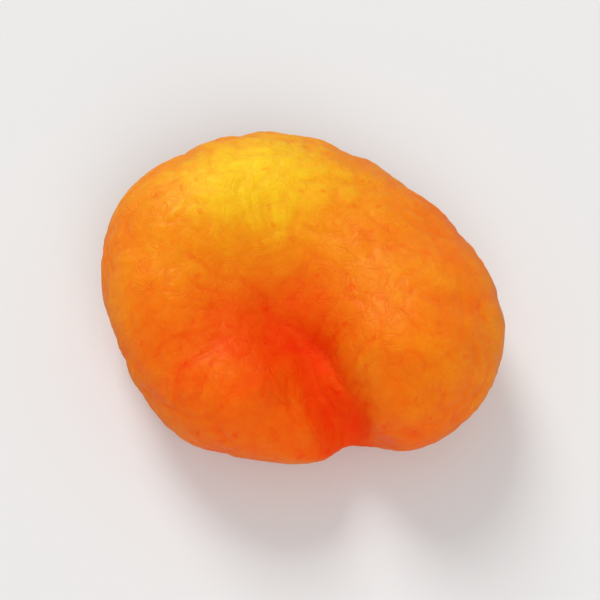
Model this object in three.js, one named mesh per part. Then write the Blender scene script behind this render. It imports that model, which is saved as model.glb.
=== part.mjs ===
// Dried apricot: a whole soft fruit, stoned through a slit in its rim, dried and pressed flat.
// One closed body. Millimetres, +Z up, origin on the surface it lies on, under the middle of its outline.
// Seen from above, the thick rim curls round a sunken middle like a horseshoe. The slit runs from the
// middle out to the front edge, between a gentle left bank and a steep right one.
import * as THREE from "three";
import { mergeVertices } from "three/addons/utils/BufferGeometryUtils.js";

const NODE = "dried_apricot";
const FLESH = { color: 0xf08a14, roughness: 0.42, metalness: 0 };

// How finely the skin is divided: squares along each edge of the cube that is rounded into the fruit.
// The cube is swirled round its upright axis, so that one line of its squares runs along the slit.
const SQUARES = 30;
const SWIRL_START = 0.25; // how far out, from 0 to 1, the line begins to follow the slit
const SWIRL_STEPS = 8; // in which the line is brought onto the slit
const SAME_POINT = 1e-4; // points of the cube that are closer than this are one

// Driving dimensions
const HALF_LENGTH = 17.7; // of the outline seen from above, before its lobes
const HALF_WIDTH = 15.1;
const OUTLINE_TURN = -28; // degrees, from +X to the outline's long way
const MIDDLE = { x: 0.3, y: 0 }; // middle of the lobed outline, which is moved over the origin
const WAIST = 5.9; // height of the outline above the surface, where the rim is widest
const DISH = { x: -1.2, y: -3 }; // lowest place of the sunken middle

// The face that looks up and the one that lies down. crown is the height of the middle above or below
// the waist, rim the radius of the rounded edge, spread how far out the middle reaches (0 to 1, squared).
const UPPER = { crown: 4.3, rim: 6, spread: 0.3 };
const LOWER = { crown: 6.05, rim: 4.3, spread: 0.9 };

// Lobes and flats of the outline: direction and half width in degrees, height outwards.
const LOBES = [
  { at: -30, wide: 26, height: 1.5 }, // right lobe
  { at: 44, wide: 22, height: -0.8 }, // flat shoulder at the upper right
  { at: 132, wide: 17, height: -0.6 }, // slight flat at the upper left
  { at: 150, wide: 34, height: 0.4 }, // left side
  { at: -130, wide: 24, height: 1.3 }, // left lobe
];

// Rise and fall of the waist round the fruit.
const WAVES = [
  { at: -20, wide: 30, height: 0.6 },
  { at: 70, wide: 28, height: -0.5 },
  { at: 140, wide: 26, height: 0.5 },
  { at: 215, wide: 28, height: -0.4 },
];

// Soft furrows across the rim: height is the share of the upper height that is lost.
const FURROWS = [
  { at: 20, wide: 9, height: 0.05 },
  { at: 112, wide: 10, height: 0.035 },
  { at: 168, wide: 9, height: 0.05 },
  { at: 214, wide: 8, height: 0.045 },
  { at: -46, wide: 7, height: 0.06 },
];
const FURROW_REACH = [0.2, 0.7]; // how far out, from 0 to 1, they begin and are full

// Swellings and hollows of the upper face: centre, radius and share of the height added.
const SWELLINGS = [
  { x: 10, y: -6, radius: 6.5, share: 0.12 }, // crown of the right lobe
  { x: -5, y: 9.5, radius: 6, share: 0.04 }, // back of the rim
  { x: 7.5, y: 8.5, radius: 4, share: -0.05 }, // flat shoulder
  { x: -8, y: -9, radius: 7, share: -0.15 }, // left lobe
];

// The slit is an arc from the dish to the outline, with a level bottom. start is the direction of its
// first point in degrees. Pairs of numbers hold for its start and for the outline.
const SLIT = { x: -8.4, y: -16.2, radius: 14.1, start: 68, length: 16.2 };
const SLIT_DEPTH = 0.68; // share of the upper height that is lost at its bottom
const SLIT_FLOOR = [0.7, 2.6]; // width of the level bottom
const LEFT_BANK = [3.8, 6.4]; // width of the gentle bank
const RIGHT_BANK = 1.9; // width of the steep one
const LEAN = 0.55; // how far the right bank is pushed over the slit, as a share of its width
const RUN_IN = [-2, 7]; // where it begins and is full, along it
const WOBBLE = 0.3; // how far it strays to either side of its arc
const WOBBLE_LENGTH = 7.5; // along it, from one stray to the next on the same side
const LEAN_START = 0.3; // level on the ball up to which the right lip doesn't yet lean over the slit
const NOTCH = { wide: 9.5, deep: 2.4, sink: 3 }; // where it meets the outline; sink lowers the waist

const { clamp, degToRad: radians, euclideanModulo, radToDeg: degrees, smoothstep: rise } = THREE.MathUtils;
const bell = (x, width) => Math.exp(-((x / width) ** 2));
const blend = (pair, share) => pair[0] + (pair[1] - pair[0]) * share;

// Signed difference of two directions in degrees, from -180 to 180.
const turnBetween = (a, b) => euclideanModulo(a - b + 180, 360) - 180;

// Sum of the bells that a list sets round the fruit.
const bells = (list, direction) =>
  list.reduce((sum, { at, wide, height }) => sum + height * bell(turnBetween(direction, at), wide), 0);

// Direction, seen from the origin, in which the slit leaves the outline.
function slitExit() {
  const angle = radians(SLIT.start) - SLIT.length / SLIT.radius;
  return degrees(Math.atan2(SLIT.y + SLIT.radius * Math.sin(angle), SLIT.x + SLIT.radius * Math.cos(angle)));
}

const notch = (direction) => bell(turnBetween(direction, slitExit()), NOTCH.wide);

// Distance from the middle to the outline.
function outline(direction) {
  const turned = radians(direction - OUTLINE_TURN);
  const oval = 1 / Math.hypot(Math.cos(turned) / HALF_LENGTH, Math.sin(turned) / HALF_WIDTH);
  return oval + bells(LOBES, direction) - NOTCH.deep * notch(direction);
}

// Height of a face above or below the waist. level is 1 at the middle and 0 at the outline.
function faceHeight(face, level, out, reach) {
  const middle = face.crown ** 2;
  const edge = face.rim * reach;
  return level * Math.sqrt(middle + (edge - middle) * (1 - Math.exp(-(out ** 2) / face.spread)));
}

// How far across the slit a place lies, the share of its depth there, and how its lip leans.
function slitAt(place) {
  const outwards = new THREE.Vector2(place.x - SLIT.x, place.y - SLIT.y);
  const along = (radians(SLIT.start) - Math.atan2(outwards.y, outwards.x)) * SLIT.radius;
  const stray = WOBBLE * Math.sin((2 * Math.PI * along) / WOBBLE_LENGTH);
  const across = outwards.length() - SLIT.radius + stray;
  const run = rise(along, 0, SLIT.length);
  const offFloor = Math.max(-across - blend(SLIT_FLOOR, run), 0);
  const climbed = 1 - bell(across, RIGHT_BANK);
  return {
    across,
    begun: rise(along, ...RUN_IN),
    drop: across < 0 ? bell(offFloor, blend(LEFT_BANK, run)) : bell(across, RIGHT_BANK),
    lean: across > 0 ? LEAN * across * (1 - climbed ** 2) : 0,
    outwards: outwards.normalize(),
  };
}

// The place seen from above of what lies so far out, from 0 in the dish to 1 on the outline.
function seenFromAbove(out, direction) {
  const pull = 1 - out ** 2;
  const far = out * outline(direction);
  const angle = radians(direction);
  return new THREE.Vector2(DISH.x * pull + far * Math.cos(angle), DISH.y * pull + far * Math.sin(angle));
}

// Direction of the foot of the slit's right bank, so far out, found by steps towards it.
function slitDirection(out) {
  const ring = Math.max(out, SWIRL_START);
  let direction = slitExit();
  for (let step = 0; step < SWIRL_STEPS; step++) {
    const { across } = slitAt(seenFromAbove(ring, direction));
    direction -= degrees(across / (ring * outline(direction)));
  }
  return direction;
}

// Where a point of the skin goes: ball is its place on a ball of radius 1.
function skinPoint(ball) {
  const out = Math.hypot(ball.x, ball.y);
  const direction = degrees(Math.atan2(ball.y, ball.x));
  const reach = outline(direction);
  const waist = WAIST + (bells(WAVES, direction) - NOTCH.sink * notch(direction)) * out ** 2;
  const place = seenFromAbove(out, direction);
  if (ball.z <= 0) {
    const low = waist * (1 - faceHeight(LOWER, -ball.z, out, reach) / WAIST);
    return new THREE.Vector3(place.x - MIDDLE.x, place.y - MIDDLE.y, Math.max(low, 0));
  }
  let height = faceHeight(UPPER, ball.z, out, reach);
  for (const { x, y, radius, share } of SWELLINGS) {
    height *= 1 + share * bell(Math.hypot(place.x - x, place.y - y), radius);
  }
  height *= 1 - bells(FURROWS, direction) * rise(out, ...FURROW_REACH);
  const slit = slitAt(place);
  height *= 1 - SLIT_DEPTH * slit.begun * slit.drop;
  const lean = slit.lean * slit.begun * clamp(ball.z / LEAN_START, 0, 1);
  place.addScaledVector(slit.outwards, -lean);
  return new THREE.Vector3(place.x - MIDDLE.x, place.y - MIDDLE.y, waist + height);
}

// Angle between the two halves of a square that is split from a to c.
function fold(a, b, c, d) {
  const first = new THREE.Triangle(a, b, c).getNormal(new THREE.Vector3());
  const second = new THREE.Triangle(a, c, d).getNormal(new THREE.Vector3());
  return first.angleTo(second);
}

// Splits each square along the diagonal that folds it less. Its two triangles come as a, b, d and b, c, d.
function splitSquares(skin) {
  const position = skin.getAttribute("position");
  const index = skin.getIndex();
  for (let first = 0; first < index.count; first += 6) {
    const [a, b, d, , c] = index.array.slice(first, first + 6);
    const corners = [a, b, c, d].map((i) => new THREE.Vector3().fromBufferAttribute(position, i));
    if (fold(...corners) < fold(...corners.slice(1), corners[0])) {
      index.array.set([a, b, c, a, c, d], first);
    }
  }
}

// A cube of SQUARES, rounded into a ball with squares of nearly one size, then shaped.
function fruitGeometry() {
  const cube = new THREE.BoxGeometry(2, 2, 2, SQUARES, SQUARES, SQUARES);
  cube.deleteAttribute("normal");
  cube.deleteAttribute("uv");
  const skin = mergeVertices(cube, SAME_POINT);
  const position = skin.getAttribute("position");
  const even = (v) => Math.tan((v * Math.PI) / 4);
  const upright = new THREE.Vector3(0, 0, 1);
  for (let i = 0; i < position.count; i++) {
    const ball = new THREE.Vector3(even(position.getX(i)), even(position.getY(i)), even(position.getZ(i)));
    ball.normalize();
    ball.applyAxisAngle(upright, radians(slitDirection(Math.hypot(ball.x, ball.y))));
    position.setXYZ(i, ...skinPoint(ball));
  }
  splitSquares(skin);
  skin.computeVertexNormals();
  return skin;
}

const part = new THREE.Group();
const fruit = new THREE.Mesh(fruitGeometry(), new THREE.MeshStandardMaterial(FLESH));
fruit.name = NODE;
part.add(fruit);

export default part;
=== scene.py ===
"""The look of a whole stoned dried apricot: folds, wrinkled skin and flesh, on a pale floor in soft light.

The form follows the same formula and the same named values as the solid that it stands for. The skin's
swells are then raised from that form, and its folds, creases, puckers and pits are sunk into it. Lengths of
the form and the skin are in millimetres, those of the floor, the lamps and the camera in metres.
"""
import math

import bpy
import numpy as np
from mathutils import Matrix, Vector, noise


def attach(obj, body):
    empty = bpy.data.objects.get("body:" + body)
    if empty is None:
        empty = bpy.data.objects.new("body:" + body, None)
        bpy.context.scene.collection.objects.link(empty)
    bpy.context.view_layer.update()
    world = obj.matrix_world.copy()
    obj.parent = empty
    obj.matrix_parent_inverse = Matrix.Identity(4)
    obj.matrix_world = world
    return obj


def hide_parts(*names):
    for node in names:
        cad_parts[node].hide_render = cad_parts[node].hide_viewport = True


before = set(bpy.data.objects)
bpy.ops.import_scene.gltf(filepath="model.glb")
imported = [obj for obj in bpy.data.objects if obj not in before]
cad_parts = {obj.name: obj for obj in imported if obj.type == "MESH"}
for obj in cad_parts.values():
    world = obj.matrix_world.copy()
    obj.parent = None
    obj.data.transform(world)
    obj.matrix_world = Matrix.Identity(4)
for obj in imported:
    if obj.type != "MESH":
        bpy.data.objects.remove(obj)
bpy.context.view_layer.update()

NODE = "dried_apricot"
SLOT = "apricot_flesh"
MM = 0.001

# How finely the skin is divided: squares along each edge of the cube that is rounded into the fruit.
# The cube is swirled round its upright axis, so that one line of its squares runs along the slit.
SQUARES = 128
SWIRL_START = 0.25  # how far out, from 0 to 1, the line begins to follow the slit
SWIRL_STEPS = 8  # in which the line is brought onto the slit
SAME_PLACE = 6  # decimals in which points of the cube that are one agree

# Driving dimensions of the form, in millimetres and degrees
HALF_LENGTH = 17.7  # of the outline seen from above, before its lobes
HALF_WIDTH = 15.1
OUTLINE_TURN = -28.0  # from +X to the outline's long way
MIDDLE = (0.3, 0.0)  # middle of the lobed outline, which is moved over the origin
WAIST = 5.9  # height of the outline above the surface, where the rim is widest
DISH = (-1.2, -3.0)  # lowest place of the sunken middle

# The face that looks up and the one that lies down. crown is the height of the middle above or below
# the waist, rim the radius of the rounded edge, spread how far out the middle reaches (0 to 1, squared).
UPPER = {"crown": 4.3, "rim": 6.0, "spread": 0.30}
LOWER = {"crown": 6.05, "rim": 4.3, "spread": 0.9}

# Round the fruit, each row holds a direction and a half width in degrees, and a height.
# The lobes stand out of the outline, the waves lift the waist, both in millimetres.
# The furrows are soft and cross the rim, and their heights are the share that is lost.
LOBES = [(-30, 26, 1.5), (44, 22, -0.8), (132, 17, -0.6), (150, 34, 0.4), (-130, 24, 1.3)]
WAVES = [(-20, 30, 0.6), (70, 28, -0.5), (140, 26, 0.5), (215, 28, -0.4)]
FURROWS = [(20, 9, 0.05), (112, 10, 0.035), (168, 9, 0.05), (214, 8, 0.045), (-46, 7, 0.06)]
FURROW_REACH = (0.2, 0.7)  # how far out, from 0 to 1, they begin and are full

# Swellings and hollows of the upper face: centre, radius and share of the height added.
SWELLINGS = [
    (10.0, -6.0, 6.5, 0.12),  # crown of the right lobe
    (-5.0, 9.5, 6.0, 0.04),  # back of the rim
    (7.5, 8.5, 4.0, -0.05),  # flat shoulder
    (-8.0, -9.0, 7.0, -0.15),  # left lobe
]

# The slit is an arc from the dish to the outline, with a level bottom. Its left bank is gentle and its
# right one steep. Pairs of numbers hold for its start and for the outline.
SLIT_CENTRE = (-8.4, -16.2)
SLIT_RADIUS = 14.1
SLIT_START = 68.0  # direction of its first point, seen from its centre
SLIT_LENGTH = 16.2
SLIT_DEPTH = 0.68  # share of the upper height that is lost at its bottom
SLIT_FLOOR = (0.7, 2.6)  # width of the level bottom
LEFT_BANK = (3.8, 6.4)  # width of the gentle bank
RIGHT_BANK = 1.9  # width of the steep one
LEAN = 0.55  # how far the right bank is pushed over the slit, as a share of its width
RUN_IN = (-2.0, 7.0)  # where it begins and is full, along it
WOBBLE = 0.3  # how far it strays to either side of its arc
WOBBLE_LENGTH = 7.5  # along it, from one stray to the next on the same side
LEAN_START = 0.3  # level on the ball up to which the right lip doesn't yet lean over the slit
NOTCH_WIDE = 9.5  # where the slit meets the outline: half width in degrees
NOTCH_DEEP = 2.4
NOTCH_SINK = 3.0  # how far the waist comes down there

# Torn flesh in the depth of the slit
TORN_WIDE = 1.7  # how far it reaches from the level bottom up the left bank
TORN_RIGHT = 1.6  # how many times sooner it ends on the right bank
TORN_BELOW = (-0.8, -0.1)  # levels on the ball, below the outline, at which it ends and is full


def bell(x, width):
    return np.exp(-((x / width) ** 2))


def rise(x, start, end):
    """0 before start, 1 after end, with a smooth rise between."""
    t = np.clip((x - start) / (end - start), 0.0, 1.0)
    return t * t * (3.0 - 2.0 * t)


def blend(pair, share):
    """From the pair's first number to its second."""
    return pair[0] + (pair[1] - pair[0]) * share


def turn_between(a, b):
    """Signed difference of two directions, in degrees."""
    return (a - b + 180.0) % 360.0 - 180.0


def bells(rows, direction):
    """Sum of the bells round the fruit that the rows describe."""
    return sum(height * bell(turn_between(direction, at), wide) for at, wide, height in rows)


def slit_exit():
    """Direction, seen from the origin, in which the slit leaves the outline."""
    angle = math.radians(SLIT_START) - SLIT_LENGTH / SLIT_RADIUS
    x = SLIT_CENTRE[0] + SLIT_RADIUS * math.cos(angle)
    y = SLIT_CENTRE[1] + SLIT_RADIUS * math.sin(angle)
    return math.degrees(math.atan2(y, x))


def notch(direction):
    return bell(turn_between(direction, slit_exit()), NOTCH_WIDE)


def outline(direction):
    """Distance from the middle to the outline."""
    turned = np.radians(direction - OUTLINE_TURN)
    oval = 1.0 / np.hypot(np.cos(turned) / HALF_LENGTH, np.sin(turned) / HALF_WIDTH)
    return oval + bells(LOBES, direction) - NOTCH_DEEP * notch(direction)


def face_height(face, level, out, reach):
    """Height of a face above or below the waist. level is 1 at the middle and 0 at the outline."""
    middle = face["crown"] ** 2
    edge = face["rim"] * reach
    return level * np.sqrt(middle + (edge - middle) * (1.0 - np.exp(-(out**2) / face["spread"])))


def slit_at(x, y):
    """Where points lie beside the slit, the share of its depth there, and how far its lip leans."""
    from_x, from_y = x - SLIT_CENTRE[0], y - SLIT_CENTRE[1]
    far = np.hypot(from_x, from_y)
    along = (math.radians(SLIT_START) - np.arctan2(from_y, from_x)) * SLIT_RADIUS
    across = far - SLIT_RADIUS + WOBBLE * np.sin(2.0 * math.pi * along / WOBBLE_LENGTH)
    run = rise(along, 0.0, SLIT_LENGTH)
    off_floor = np.maximum(-across - blend(SLIT_FLOOR, run), 0.0)
    climbed = 1.0 - bell(across, RIGHT_BANK)
    return {
        "along": along,
        "across": across,
        "off_floor": off_floor,
        "begun": rise(along, *RUN_IN),
        "drop": bell(np.where(across < 0, off_floor / blend(LEFT_BANK, run), across / RIGHT_BANK), 1.0),
        "lean": np.where(across > 0, LEAN * across * (1.0 - climbed**2), 0.0),
        "outwards": (from_x / far, from_y / far),
    }


def seen_from_above(out, direction):
    """The places seen from above of what lies so far out, from 0 in the dish to 1 on the outline."""
    pull = 1.0 - out**2
    far = out * outline(direction)
    angle = np.radians(direction)
    return DISH[0] * pull + far * np.cos(angle), DISH[1] * pull + far * np.sin(angle)


def slit_direction(out):
    """Direction of the foot of the slit's right bank, so far out, found by steps towards it."""
    ring = np.maximum(out, SWIRL_START)
    direction = np.full_like(ring, slit_exit())
    for _ in range(SWIRL_STEPS):
        across = slit_at(*seen_from_above(ring, direction))["across"]
        direction = direction - np.degrees(across / (ring * outline(direction)))
    return direction


def ball_squares(n):
    """Points and square faces of a cube of n by n squares a side, rounded into a ball of radius 1."""
    steps = np.tan(np.linspace(-math.pi / 4, math.pi / 4, n + 1))
    u, v = np.meshgrid(steps, steps, indexing="ij")
    one = np.ones_like(u)
    sides = [(u, v, one), (v, u, -one), (one, u, v), (-one, v, u), (v, one, u), (u, -one, v)]
    points = np.concatenate([np.stack(side, axis=-1).reshape(-1, 3) for side in sides])
    row, column = np.meshgrid(np.arange(n), np.arange(n), indexing="ij")
    corner = (row * (n + 1) + column).reshape(-1)
    square = np.stack([corner, corner + n + 1, corner + n + 2, corner + 1], axis=1)
    faces = np.concatenate([square + side * (n + 1) ** 2 for side in range(len(sides))])
    rounded = np.round(points, SAME_PLACE)
    first, where = np.unique(rounded, axis=0, return_index=True, return_inverse=True)[1:]
    points = points[first]
    return points / np.linalg.norm(points, axis=1, keepdims=True), where.reshape(-1)[faces]


def swirled(ball):
    """The points of the ball turned about the upright axis, as the slit turns from ring to ring."""
    x, y, z = ball.T
    turn = np.radians(slit_direction(np.hypot(x, y)))
    c, s = np.cos(turn), np.sin(turn)
    return np.stack([c * x - s * y, s * x + c * y, z], axis=1)


def place_on_fruit(ball):
    """Where the points of a ball of radius 1 lie on the fruit: seen from above, and beside the slit."""
    x, y, level = ball.T
    out = np.hypot(x, y)
    direction = np.degrees(np.arctan2(y, x))
    above = seen_from_above(out, direction)
    slit = slit_at(*above)
    left = slit["across"] < 0
    off_bottom = np.where(left, slit["off_floor"], slit["across"] * TORN_RIGHT)
    opening = slit["begun"] * (level > 0)
    return {
        **slit,
        "above": above,
        "out": out,
        "direction": direction,
        "level": level,
        "opening": opening,
        "left_bank": opening * slit["drop"] * left,
        "inside": slit["begun"] * bell(off_bottom, TORN_WIDE) * rise(level, *TORN_BELOW),
    }


def upper_height(where, reach):
    """Height of the upper face above the waist."""
    x, y = where["above"]
    height = face_height(UPPER, where["level"], where["out"], reach)
    for at_x, at_y, radius, share in SWELLINGS:
        height = height * (1.0 + share * bell(np.hypot(x - at_x, y - at_y), radius))
    height = height * (1.0 - bells(FURROWS, where["direction"]) * rise(where["out"], *FURROW_REACH))
    return height * (1.0 - SLIT_DEPTH * where["opening"] * where["drop"])


def form(where):
    """Points of the fruit without its skin's relief, in millimetres."""
    level, out, direction = where["level"], where["out"], where["direction"]
    reach = outline(direction)
    waist = WAIST + (bells(WAVES, direction) - NOTCH_SINK * notch(direction)) * out**2
    low = waist * (1.0 - face_height(LOWER, -level, out, reach) / WAIST)
    z = np.where(level > 0, waist + upper_height(where, reach), np.maximum(low, 0.0))
    lean = where["lean"] * where["opening"] * np.clip(level / LEAN_START, 0, 1)
    x = where["above"][0] - lean * where["outwards"][0] - MIDDLE[0]
    y = where["above"][1] - lean * where["outwards"][1] - MIDDLE[1]
    return np.stack([x, y, z], axis=1)


# Relief of the skin. Heights, depths and sizes are in millimetres. Creases run along the lines where
# noise is 0, and wide is the value of the noise at which they have lost about two thirds of their depth.
# bend says how far a slow noise bends them. Another seed gives another pattern.
SWELLS = [
    {"height": 0.32, "size": 9.0, "seed": 1},
    {"height": 0.16, "size": 4.0, "seed": 2},
    {"height": 0.022, "size": 0.8, "seed": 9},
]

# Pleats and folds run from the middle over the rim. around and inwards say how close they lie in the
# two directions. The depths of the folds are those on the flat faces and on the flank.
PLEATS = {"height": 0.15, "around": 5.0, "inwards": 0.8, "bend": 0.6, "seed": 11}
FOLDS = {"depth": (0.13, 0.32), "around": 3.0, "inwards": 1.0, "bend": 0.8, "seed": 4, "wide": 0.15}
FINE_FOLDS = {"depth": 0.085, "around": 7.0, "inwards": 2.2, "bend": 1.0, "seed": 5, "wide": 0.20}
FOLDS_BEGIN = (0.15, 0.5)  # how far out, from 0 to 1, they begin and are full
FLANK_TOP = 0.75  # level on the ball, above and below, at which the flank has become a flat face

# Puckers of the lips and fibres of the torn flesh, both so many to a millimetre along and across the slit
PUCKERS = {"depth": 0.13, "along": 0.8, "across": 0.2, "bend": 0.3, "seed": 7, "wide": 0.20}
FIBRES = {"depth": 0.08, "along": 0.35, "across": 1.5, "bend": 0.5, "seed": 12, "wide": 0.30}
LIP_MIDDLE = 0.5  # where the puckers are deepest, across the slit
LIP_WIDE = 3.5

# Leathery creases, coarse and fine, and scattered pits all over the skin
LEATHER = [
    {"depth": 0.085, "size": 2.6, "bend": 0.8, "seed": 8, "wide": 0.16},
    {"depth": 0.045, "size": 1.3, "bend": 0.5, "seed": 10, "wide": 0.24},
]
PITS = {"depth": 0.05, "apart": 2.6, "radius": 0.30}

# The seam that runs under the fruit from the slit to the far rim
SUTURE_DEPTH = 0.28
SUTURE_WIDE = 0.7
SUTURE_STRAY = 0.7  # how far the seam strays from its line
SUTURE_STRAY_LENGTH = 3.4
SUTURE_TOP = (-0.5, 0.0)  # levels on the ball at which it begins to fade and is gone

BENDING = {"size": 5.0, "seed": 3}  # the slow noise that bends the creases
FOLDED = {"size": 6.0, "seed": 6}  # the noise that says where the skin is folded
FOLDED_FROM = (-0.25, 0.45)  # its values at which folds begin and are full
SEED_STEP = (17.3, 5.7, 11.1)  # from one seed's noise to the next
INSIDE_SKIN = 0.25  # share of the skin's relief that is left in the depth of the slit
PRESSED = 1.5  # height above the surface below which the skin's swells are pressed flatter

# Masks for the colour: where painted shade falls and where the painted highlight lies
DEEP_CREASE = 0.2  # depth at which a crease has its full painted shade
RIM_MIDDLE = 0.86  # how far out the thickest of the rim is, from 0 to 1, and its half width
RIM_WIDE = 0.42
LIT_RIM_MIDDLE = 106.0  # middle of the rim's side that faces the key lamp, painted yellow as its highlight, and its half width, in degrees
LIT_RIM_WIDE = 55.0
LIT_RIM_OUT = (-0.1, 0.55)  # how far out it begins and is full
LIT_RIM_LEVEL = (0.3, 0.8)  # levels on the ball between which it grows from its share below to full
LIT_RIM_SHARE = (0.35, 1.0)


def noise_at(points, size, seed):
    """Smooth noise, about -1 to 1, whose features are about size wide."""
    shift = Vector([step * seed for step in SEED_STEP])
    return np.array([noise.noise(Vector(q) / size + shift) for q in points.tolist()])


def crease_lines(places, kind):
    """1 along the lines of a kind of crease, falling to 0 beside them."""
    return bell(noise_at(places, 1.0, kind["seed"]), kind["wide"])


def pits(points):
    """1 in the middle of scattered small pits, falling to 0 round them."""
    near = [noise.voronoi(Vector(q) / PITS["apart"])[0][0] for q in points.tolist()]
    return bell(np.array(near), PITS["radius"] / PITS["apart"])


def fan(where, kind, bending):
    """Places for noise whose features run from the middle of the fruit over the rim."""
    direction = np.radians(where["direction"])
    colatitude = np.arccos(np.clip(where["level"], -1, 1))
    ring_x, ring_y = np.cos(direction) * kind["around"], np.sin(direction) * kind["around"]
    return np.stack([ring_x, ring_y, colatitude * kind["inwards"] + bending * kind["bend"]], axis=1)


def beside_slit(where, kind, bending):
    """Places for noise whose features follow the slit."""
    along = where["along"] * kind["along"]
    across = where["across"] * kind["across"] + bending * kind["bend"]
    return np.stack([along, across, np.zeros_like(along)], axis=1)


def suture(points, where):
    """1 along the seam under the fruit, falling to 0 beside it."""
    heading = math.radians(slit_exit())
    beside = points[:, 0] * math.sin(heading) - points[:, 1] * math.cos(heading)
    ahead = points[:, 0] * math.cos(heading) + points[:, 1] * math.sin(heading)
    stray = SUTURE_STRAY * np.sin(ahead / SUTURE_STRAY_LENGTH)
    return bell(beside - stray, SUTURE_WIDE) * (1.0 - rise(where["level"], *SUTURE_TOP))


def relief(points, where):
    """How far the skin swells at each point, and how far its creases and pits sink."""
    flank = 1.0 - rise(np.abs(where["level"]), 0.0, FLANK_TOP)
    bending = noise_at(points, **BENDING)
    folded = rise(where["out"], *FOLDS_BEGIN) * rise(noise_at(points, **FOLDED), *FOLDED_FROM)
    inside = where["inside"]
    lip = where["opening"] * bell(where["across"] - LIP_MIDDLE, LIP_WIDE)
    skin = 1.0 - (1.0 - INSIDE_SKIN) * inside

    raised = PLEATS["height"] * flank * noise_at(fan(where, PLEATS, bending), 1.0, PLEATS["seed"])
    for swell in SWELLS:
        raised = raised + swell["height"] * noise_at(points, swell["size"], swell["seed"])

    sunk = blend(FOLDS["depth"], flank) * folded * crease_lines(fan(where, FOLDS, bending), FOLDS)
    sunk = sunk + FINE_FOLDS["depth"] * folded * crease_lines(fan(where, FINE_FOLDS, bending), FINE_FOLDS)
    sunk = sunk + PUCKERS["depth"] * lip * crease_lines(beside_slit(where, PUCKERS, bending), PUCKERS)
    for leather in LEATHER:
        places = (points + bending[:, None] * leather["bend"]) / leather["size"]
        sunk = sunk + leather["depth"] * crease_lines(places, leather)
    sunk = sunk + PITS["depth"] * pits(points) + SUTURE_DEPTH * suture(points, where)
    fibres = FIBRES["depth"] * inside * crease_lines(beside_slit(where, FIBRES, bending), FIBRES)
    return raised * skin, sunk * skin + fibres


def normals_of(mesh):
    normals = np.empty(len(mesh.vertices) * 3, dtype=np.float32)
    mesh.vertices.foreach_get("normal", normals)
    return normals.reshape(-1, 3)


def painted_lit_rim(where):
    """1 in the middle of the painted highlight on the rim that faces the key lamp, falling to 0 round it and
    to a third below.
    """
    round_rim = bell(turn_between(where["direction"], LIT_RIM_MIDDLE), LIT_RIM_WIDE)
    return round_rim * rise(where["out"], *LIT_RIM_OUT) * blend(LIT_RIM_SHARE, rise(where["level"], *LIT_RIM_LEVEL))


def add_masks(mesh, where, sunk):
    """Stores for each point, from 0 to 1, what its colour depends on: the painted shade of the hollow, the
    slit and the creases, and the painted highlight of the lit rim.
    """
    rim = bell(where["out"] - RIM_MIDDLE, RIM_WIDE)
    masks = {
        "hollow": np.clip((where["level"] > 0) * (1.0 - rim) + where["left_bank"], 0, 1),
        "slit": where["inside"],
        "creased": np.clip(sunk / DEEP_CREASE, 0, 1),
        "lit_rim": painted_lit_rim(where),
    }
    for name, values in masks.items():
        layer = mesh.attributes.new(name, "FLOAT", "POINT")
        layer.data.foreach_set("value", values.astype(np.float32))


def make_fruit():
    ball, faces = ball_squares(SQUARES)
    where = place_on_fruit(swirled(ball))
    points = form(where)
    mesh = bpy.data.meshes.new("apricot")
    mesh.from_pydata((points * MM).tolist(), [], faces.tolist())
    mesh.update()
    raised, sunk = relief(points, where)
    swollen = raised * rise(points[:, 2], 0.0, PRESSED)
    points = points + normals_of(mesh) * (swollen - sunk)[:, None]
    points[:, 2] = np.maximum(points[:, 2], 0.0)
    mesh.vertices.foreach_set("co", (points * MM).astype(np.float32).reshape(-1))
    mesh.update()
    mesh.shade_smooth()
    add_masks(mesh, where, sunk)
    fruit = bpy.data.objects.new("apricot", mesh)
    bpy.context.scene.collection.objects.link(fruit)
    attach(fruit, "root")
    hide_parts(NODE)
    return fruit


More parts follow.
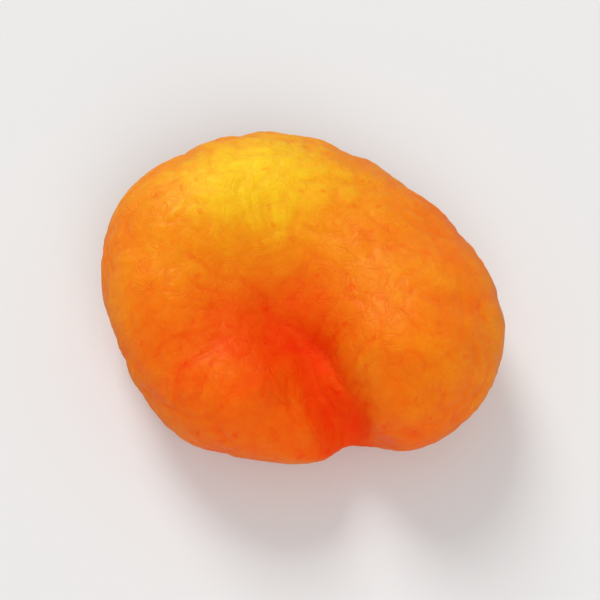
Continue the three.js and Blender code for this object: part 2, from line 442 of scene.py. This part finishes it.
class Nodes:
    """Short calls for a material's node tree."""

    def __init__(self, name):
        self.material = bpy.data.materials.new(name)
        self.material.use_nodes = True
        self.tree = self.material.node_tree
        self.shader = self.tree.nodes["Principled BSDF"]

    def set_sockets(self, sockets):
        """Sets what is the same all over on the shader's own sockets."""
        for name, value in sockets.items():
            self.shader.inputs[name].default_value = value

    def add(self, kind, **settings):
        node = self.tree.nodes.new(kind)
        for name, value in settings.items():
            setattr(node, name, value)
        return node

    def link(self, source, target):
        self.tree.links.new(source, target)

    def attribute(self, name):
        return self.add("ShaderNodeAttribute", attribute_name=name).outputs["Fac"]

    def coordinates(self):
        return self.add("ShaderNodeTexCoord").outputs["Object"]

    def noise(self, place, per_metre, detail=3.0, roughness=0.5, warp=0.0):
        node = self.add("ShaderNodeTexNoise")
        node.inputs["Scale"].default_value = per_metre
        node.inputs["Detail"].default_value = detail
        node.inputs["Roughness"].default_value = roughness
        node.inputs["Distortion"].default_value = warp
        self.link(place, node.inputs["Vector"])
        return node.outputs["Fac"]

    def between(self, value, start, end):
        """Goes smoothly from one pair of value and result to the other, and stays level beyond them."""
        node = self.add("ShaderNodeMapRange", interpolation_type="SMOOTHSTEP")
        self.link(value, node.inputs["Value"])
        for name, number in zip(("From Min", "To Min", "From Max", "To Max"), (*start, *end)):
            node.inputs[name].default_value = number
        return node.outputs["Result"]

    def from_noise(self, place, kind):
        """What a kind of noise gives, by its two pairs of value and result."""
        settings, start, end = kind
        return self.between(self.noise(place, **settings), start, end)

    def creases(self, place, per_metre, width):
        """0 along fine crooked lines, where the noise is at its middle, 1 away from them."""
        crooked = self.noise(place, per_metre, detail=2.0, warp=0.6)
        off_line = self.maths("ABSOLUTE", self.maths("SUBTRACT", crooked, 0.5))
        return self.between(off_line, (0.0, 0.0), (width, 1.0))

    def maths(self, operation, a, b=0.0):
        node = self.add("ShaderNodeMath", operation=operation)
        for socket, value in zip(node.inputs, (a, b)):
            if isinstance(value, (int, float)):
                socket.default_value = value
            else:
                self.link(value, socket)
        return node.outputs["Value"]

    def times(self, a, b):
        return self.maths("MULTIPLY", a, b)

    def total(self, *values):
        sum_so_far = values[0]
        for value in values[1:]:
            sum_so_far = self.maths("ADD", sum_so_far, value)
        return sum_so_far

    def distance(self, place, centre_mm):
        node = self.add("ShaderNodeVectorMath", operation="DISTANCE")
        self.link(place, node.inputs[0])
        node.inputs[1].default_value = [v * MM for v in centre_mm]
        return node.outputs["Value"]

    def ramp(self, value, stops):
        node = self.add("ShaderNodeValToRGB")
        elements = node.color_ramp.elements
        while len(elements) < len(stops):
            elements.new(0.5)
        for element, (place, colour) in zip(elements, stops):
            element.position = place
            element.color = (*colour, 1.0)
        self.link(value, node.inputs["Fac"])
        return node.outputs["Color"]


# Colours from the painted shade deep in the slit to the painted highlight on the lit rim, as linear red,
# green and blue
FLESH_COLOURS = [
    (0.00, (0.85, 0.036, 0.001)),
    (0.25, (0.83, 0.090, 0.002)),
    (0.50, (0.825, 0.172, 0.004)),
    (0.75, (0.84, 0.288, 0.006)),
    (1.00, (0.88, 0.600, 0.014)),
]

# The tone is the place on that scale, painted light and shade included: what plain skin has, and what is
# added where each mask is full.
# The hollow and the wrinkles have two pairs of a value and what is added there.
PLAIN_SKIN = 0.60
# Painted highlight: the rim that faces the key lamp is made yellower.
LIT_RIM_ADDS = 0.40
# Painted shade: the depth of the slit is made redder and darker, as shade falls there.
SLIT_SHADE_ADDS = -0.30
# Painted shade: the sunken hollow and the left bank are made redder, as shade falls there.
HOLLOW_SHADE_ADDS = ((0.35, 0.0), (1.1, -0.07))
# Painted shade: the creases are made redder the deeper they sink.
CREASE_SHADE_ADDS = -0.12
# Painted shade: the lines of the fine wrinkles are made a little redder.
WRINKLE_SHADE_ADDS = ((0.3, -0.03), (1.4, 0.0))
CALM = 0.5  # share of its marks that the painted highlight on the rim keeps

# Parts of the skin that are made yellower or redder: their middle, how far from it the change is full and
# gone, all in millimetres, and the change. The two redder ones are painted shade on the low front side, which
# faces away from the key lamp.
TINTED = [
    ((11.0, -6.0, 12.5), (2, 11), 0.07),  # amber crest of the right lobe
    ((-5.0, -8.0, 8.0), (2, 14), -0.23),  # red left bank
    ((9.5, -13.5, 6.0), (1, 9), -0.20),  # redder end of the right lobe
]

# Kinds of noise: the settings, then two pairs of a value of the noise and the result there. The result
# of the first three is added to the tone.
PATCHES = ({"per_metre": 110, "roughness": 0.55, "warp": 0.4}, (0.3, -0.07), (0.7, 0.07))
MOTTLE = ({"per_metre": 700, "roughness": 0.6}, (0.3, -0.035), (0.7, 0.035))
FRECKLES = ({"per_metre": 1000, "detail": 0.0}, (0.72, 0.0), (0.82, -0.14))
SATIN = ({"per_metre": 300}, (0.3, 0.40), (0.7, 0.54))  # the roughness of the gloss
WRINKLE_DEPTH = ({"per_metre": 160, "detail": 2.0}, (0.35, 0.35), (0.65, 0.9))  # the height of WRINKLES

# The finest relief. The width of wrinkles is how far their noise is from its middle where they end.
WRINKLES = {"per_metre": 400, "width": 0.045}
FINER_WRINKLES = {"per_metre": 900, "width": 0.06}
FINER_HEIGHT = 0.6
PORES = {"per_metre": 2600, "detail": 2.0, "roughness": 0.6}
PORE_HEIGHT = 0.45
BUMP_HEIGHT = 0.04  # millimetres that a height of 1 in this relief stands for

TORN_ROUGHER = 0.25
FLESH_FINISH = {
    "Subsurface Weight": 0.7,
    "Subsurface Radius": (1.0, 0.22, 0.05),
    "Subsurface Scale": 0.0035,
    "Specular IOR Level": 0.30,
    "Specular Tint": (1.0, 0.68, 0.25, 1.0),
}


def fine_wrinkles(n, place):
    """Height of the skin between fine wrinkles, which are deep in some places and shallow in others."""
    wrinkles = n.times(n.creases(place, **WRINKLES), n.from_noise(place, WRINKLE_DEPTH))
    finer = n.times(n.creases(place, **FINER_WRINKLES), FINER_HEIGHT)
    return n.total(wrinkles, finer)


def tone_and_painted_light(n, place, wrinkles):
    """The tone: large regions of painted highlight and painted shade, and the flesh's own marks with painted
    shade in its creases, which are calmer on the lit rim.
    """
    lit_rim = n.attribute("lit_rim")
    tinted = [
        n.between(n.distance(place, middle), (near * MM, change), (far * MM, 0.0))
        for middle, (near, far), change in TINTED
    ]
    # Painted shade: the hollow and the depth of the slit are made redder.
    hollow = n.between(n.attribute("hollow"), *HOLLOW_SHADE_ADDS)
    slit = n.times(n.attribute("slit"), SLIT_SHADE_ADDS)
    regions_and_painted_light = n.total(n.times(lit_rim, LIT_RIM_ADDS), *tinted, hollow, slit, PLAIN_SKIN)

    patches, mottle, freckles = [n.from_noise(place, kind) for kind in (PATCHES, MOTTLE, FRECKLES)]
    # Painted shade: the creases and the lines of the wrinkles are made redder.
    creased = n.times(n.attribute("creased"), CREASE_SHADE_ADDS)
    lines = n.between(wrinkles, *WRINKLE_SHADE_ADDS)
    marks_and_crease_shade = n.total(patches, creased, mottle, lines, freckles)
    return n.total(regions_and_painted_light, n.times(marks_and_crease_shade, n.between(lit_rim, (0.0, 1.0), (1.0, CALM))))


def flesh_material():
    n = Nodes(SLOT)
    place = n.coordinates()
    wrinkles = fine_wrinkles(n, place)
    n.link(n.ramp(tone_and_painted_light(n, place, wrinkles), FLESH_COLOURS), n.shader.inputs["Base Color"])
    n.set_sockets(FLESH_FINISH)
    torn = n.times(n.attribute("slit"), TORN_ROUGHER)
    n.link(n.total(n.from_noise(place, SATIN), torn), n.shader.inputs["Roughness"])

    pores = n.times(n.noise(place, **PORES), PORE_HEIGHT)
    bump = n.add("ShaderNodeBump")
    bump.inputs["Strength"].default_value = 1.0
    bump.inputs["Distance"].default_value = BUMP_HEIGHT * MM
    n.link(n.total(wrinkles, pores), bump.inputs["Height"])
    n.link(bump.outputs["Normal"], n.shader.inputs["Normal"])
    return n.material


# The studio
FLOOR_HALF = 4.0  # from the middle of the floor to its edges
FLOOR_FINISH = {"Base Color": (0.74, 0.735, 0.73, 1.0), "Roughness": 0.9, "Specular IOR Level": 0.1}
KEY = {"place": (-0.13, 0.32, 0.29), "wide": 25.0, "strength": 1.65}
FILL = {"place": (0.06, -0.27, 0.32), "wide": 50.0, "strength": 1.33, "glossy": False}
SKY_STRENGTH = (0.86, 0.46)  # of the surrounding light at the horizon and high up
SKY_HIGH = 0.35  # upright share of a direction at which it counts as high up
SKY_IN_GLOSS = 0.4  # share of it that gloss reflects, so that no white veil lies on the flesh

# The camera, which looks steeply down from the front
ELEVATION = 66.0
DISTANCE = 0.125
TARGET = (0.0, -0.0008, 0.006)
LENS = 85.0  # in millimetres, as is the width of the film
FILM_WIDTH = 36.0
NEAREST = 0.01  # distance from which on things are seen


def make_floor():
    corners = [(-1, -1, 0), (1, -1, 0), (1, 1, 0), (-1, 1, 0)]
    mesh = bpy.data.meshes.new("floor")
    mesh.from_pydata([Vector(corner) * FLOOR_HALF for corner in corners], [], [(0, 1, 2, 3)])
    floor = bpy.data.objects.new("floor", mesh)
    bpy.context.scene.collection.objects.link(floor)
    n = Nodes("pale_floor")
    n.set_sockets(FLOOR_FINISH)
    mesh.materials.append(n.material)
    floor.visible_glossy = False


def soft_light(name, place, wide, strength, glossy=True):
    """An even light from the direction of a place, as soft as a lamp that looks so many degrees wide."""
    data = bpy.data.lights.new(name, "SUN")
    data.angle = math.radians(wide)
    data.energy = strength
    lamp = bpy.data.objects.new(name, data)
    lamp.visible_glossy = glossy
    lamp.location = place
    lamp.rotation_euler = (-Vector(place)).to_track_quat("-Z", "Y").to_euler()
    bpy.context.scene.collection.objects.link(lamp)


def make_camera():
    data = bpy.data.cameras.new("camera")
    data.lens = LENS
    data.sensor_width = FILM_WIDTH
    data.clip_start = NEAREST
    camera = bpy.data.objects.new("camera", data)
    elevation = math.radians(ELEVATION)
    target = Vector(TARGET)
    camera.location = target + Vector((0, -math.cos(elevation), math.sin(elevation))) * DISTANCE
    camera.rotation_euler = (target - camera.location).to_track_quat("-Z", "Y").to_euler()
    bpy.context.scene.collection.objects.link(camera)
    bpy.context.scene.camera = camera


def make_sky():
    """A white surrounding light, brighter near the horizon, where it meets the floor."""
    world = bpy.data.worlds.new("studio")
    world.use_nodes = True
    nodes, links = world.node_tree.nodes, world.node_tree.links
    split = nodes.new("ShaderNodeSeparateXYZ")
    strength = nodes.new("ShaderNodeMapRange")
    strength.inputs["From Max"].default_value = SKY_HIGH
    strength.inputs["To Min"].default_value = SKY_STRENGTH[0]
    strength.inputs["To Max"].default_value = SKY_STRENGTH[1]
    in_gloss = nodes.new("ShaderNodeMapRange")
    in_gloss.inputs["To Min"].default_value = 1.0
    in_gloss.inputs["To Max"].default_value = SKY_IN_GLOSS
    seen = nodes.new("ShaderNodeMath")
    seen.operation = "MULTIPLY"
    background = nodes["Background"]
    background.inputs["Color"].default_value = (1, 1, 1, 1)
    links.new(nodes.new("ShaderNodeTexCoord").outputs["Generated"], split.inputs["Vector"])
    links.new(split.outputs["Z"], strength.inputs["Value"])
    links.new(nodes.new("ShaderNodeLightPath").outputs["Is Glossy Ray"], in_gloss.inputs["Value"])
    links.new(strength.outputs["Result"], seen.inputs[0])
    links.new(in_gloss.outputs["Result"], seen.inputs[1])
    links.new(seen.outputs["Value"], background.inputs["Strength"])
    return world


def make_studio():
    soft_light("key", **KEY)
    soft_light("fill", **FILL)
    bpy.context.scene.world = make_sky()
    bpy.context.scene.view_settings.view_transform = "Standard"


fruit = make_fruit()
fruit.data.materials.append(flesh_material())
make_floor()
make_camera()
make_studio()
